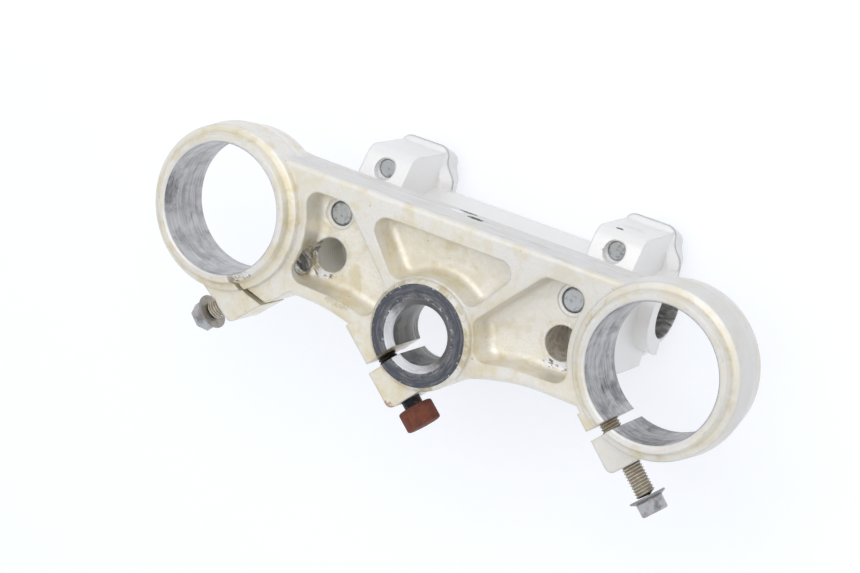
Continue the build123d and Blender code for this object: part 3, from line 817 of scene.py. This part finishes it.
class OBJECT_OT_yoke_stem_bolt(YokeOperator):
    """Model the rusty stem pinch bolt"""
    bl_idname = "object.yoke_stem_bolt"
    bl_label = "Stem pinch bolt"

    def execute(self, context):
        sizes = context.scene.yoke_bolts
        metal = steel()
        placement = clamp_frame(bore_axis("stem_bore"), -sizes.stem_angle, -1, sizes.stem_reach,
                                sizes.stem_seat, sizes.stem_out, sizes.height)
        bm = bmesh.new()
        threaded_rod(bm, sizes, -sizes.stem_length, -4 * MM)
        drum(bm, sizes.thread / 2 - 0.1 * MM, -6 * MM, 0.5 * MM)
        verts, _ = drum(bm, sizes.stem_head / 2, 0, sizes.stem_head_height)
        rims = {e for v in verts for e in v.link_edges if e.calc_length() < 2 * MM}
        soften(bm, list(rims), 0.8 * MM)
        head = (metal.red_rust, metal.dark_rust, 0.75, 0.15)
        shank = (metal.oxide, metal.plate_dark, 0.3, 0.8)
        material = bolt_finish("stem_pinch_metal", placement, head, shank, 0.6)
        solid(bm, "stem_pinch_screw", placement, material, stands_for="stem_pinch_bolt")
        return {"FINISHED"}


def sheet_of_paper(name, height, faces_up, width):
    """A one-sided sheet: it shows only from its face, and throws no shadow."""
    bm = bmesh.new()
    bmesh.ops.create_grid(bm, x_segments=1, y_segments=1, size=width / 2)
    if not faces_up:
        bmesh.ops.reverse_faces(bm, faces=bm.faces)
    bmesh.ops.translate(bm, verts=bm.verts, vec=(0, 0, height))
    mesh = bpy.data.meshes.new(name)
    bm.to_mesh(mesh)
    bm.free()
    paper = bpy.data.objects.new(name, mesh)
    bpy.context.scene.collection.objects.link(paper)
    paper.visible_shadow = False
    paper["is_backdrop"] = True
    return paper


def paper_finish(tint):
    """Pale paper that the camera and reflections see from its face, and that takes no light away."""
    finish = Finish("studio_paper")
    rays = [finish.node("LightPath", output=name) for name in SHOWN_RAYS]
    seen = (1 - finish.node("NewGeometry", output="Backfacing")) * rays[0].higher(rays[1]).higher(rays[2])
    matt = finish.node("BsdfDiffuse", {}, {"Color": tint})
    glow = finish.node("Emission", {}, {"Color": tint, "Strength": 1.25})
    paper = finish.node("MixShader", {}, {0: 0.5, 1: matt, 2: glow})
    clear = finish.node("BsdfTransparent")
    surface = finish.node("MixShader", {}, {0: seen, 1: clear, 2: paper})
    finish.node("OutputMaterial", {}, {"Surface": surface})
    return finish.material


class OBJECT_OT_yoke_studio(YokeOperator):
    """Set up the camera, the floor, the lamps and the world"""
    bl_idname = "object.yoke_studio"
    bl_label = "Studio"

    def execute(self, context):
        scene = context.scene
        studio = scene.yoke_studio
        lens = bpy.data.cameras.new("camera")
        lens.lens = studio.lens
        lens.sensor_width = 36
        camera = bpy.data.objects.new("camera", lens)
        camera.location = studio.camera_place
        camera.rotation_euler = studio.camera_turn
        scene.collection.objects.link(camera)
        scene.camera = camera
        low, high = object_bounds()
        paper = paper_finish(studio.paper)
        sheet_of_paper("floor", low.z - FLOOR_GAP, True, studio.floor).data.materials.append(paper)
        sheet_of_paper("backdrop", high.z + BACKDROP_GAP, False, studio.floor).data.materials.append(paper)
        self.add_lamp("key_lamp", KEY_PLACE, KEY_WIDTH, studio.key_power)
        self.add_lamp("top_lamp", TOP_PLACE, TOP_WIDTH, studio.top_power)
        self.light_world(scene, studio.world_light)
        scene.view_settings.view_transform = "Standard"
        return {"FINISHED"}

    def add_lamp(self, name, place, size, power):
        """A large square lamp that points at the stem bore."""
        lamp = bpy.data.lights.new(name, "AREA")
        lamp.size = size
        lamp.energy = power
        stand = bpy.data.objects.new(name, lamp)
        stand.location = place
        stand.rotation_euler = (-Vector(place)).to_track_quat("-Z", "Y").to_euler()
        bpy.context.scene.collection.objects.link(stand)

    def light_world(self, scene, strength):
        """Even light from all sides, with a white background for the camera and in reflections."""
        world = bpy.data.worlds.new("studio")
        world.use_nodes = True
        tree = world.node_tree
        tree.nodes.clear()
        rays = tree.nodes.new("ShaderNodeLightPath")
        shown = rays.outputs[SHOWN_RAYS[0]]
        for name in SHOWN_RAYS[1:]:
            either = tree.nodes.new("ShaderNodeMath")
            either.operation = "MAXIMUM"
            tree.links.new(shown, either.inputs[0])
            tree.links.new(rays.outputs[name], either.inputs[1])
            shown = either.outputs[0]
        backdrop = tree.nodes.new("ShaderNodeBackground")
        backdrop.inputs["Color"].default_value = linear(250, 252, 255)
        light = tree.nodes.new("ShaderNodeBackground")
        light.inputs["Color"].default_value = linear(248, 250, 255)
        light.inputs["Strength"].default_value = strength
        mix = tree.nodes.new("ShaderNodeMixShader")
        output = tree.nodes.new("ShaderNodeOutputWorld")
        tree.links.new(shown, mix.inputs[0])
        tree.links.new(light.outputs[0], mix.inputs[1])
        tree.links.new(backdrop.outputs[0], mix.inputs[2])
        tree.links.new(mix.outputs[0], output.inputs["Surface"])
        scene.world = world


class VIEW3D_PT_yoke(bpy.types.Panel):
    """Lists the yoke's operators"""
    bl_label = "Fork yoke"
    bl_space_type = "VIEW_3D"
    bl_region_type = "UI"
    bl_category = "Fork yoke"

    def draw(self, context):
        for step in STEPS:
            self.layout.operator(step.bl_idname)


GROUPS = {"yoke_casting": CastingLook, "yoke_steel": SteelLook, "yoke_bolts": BoltSizes,
          "yoke_studio": StudioSizes}
STEPS = (OBJECT_OT_yoke_casting, OBJECT_OT_yoke_studs, OBJECT_OT_yoke_fork_bolts, OBJECT_OT_yoke_tapped_hole,
         OBJECT_OT_yoke_stem_bolt, OBJECT_OT_yoke_studio)


def register():
    """Register the property groups, the operators and the panel."""
    for name, group in GROUPS.items():
        bpy.utils.register_class(group)
        setattr(bpy.types.Scene, name, bpy.props.PointerProperty(type=group))
    for step in (*STEPS, VIEW3D_PT_yoke):
        bpy.utils.register_class(step)


def unregister():
    """Undo what register did."""
    for step in (VIEW3D_PT_yoke, *reversed(STEPS)):
        bpy.utils.unregister_class(step)
    for name, group in GROUPS.items():
        delattr(bpy.types.Scene, name)
        bpy.utils.unregister_class(group)


def main():
    """Make every piece in order."""
    register()
    for step in STEPS:
        group, name = step.bl_idname.split(".")
        getattr(getattr(bpy.ops, group), name)()


if __name__ == "__main__":
    main()
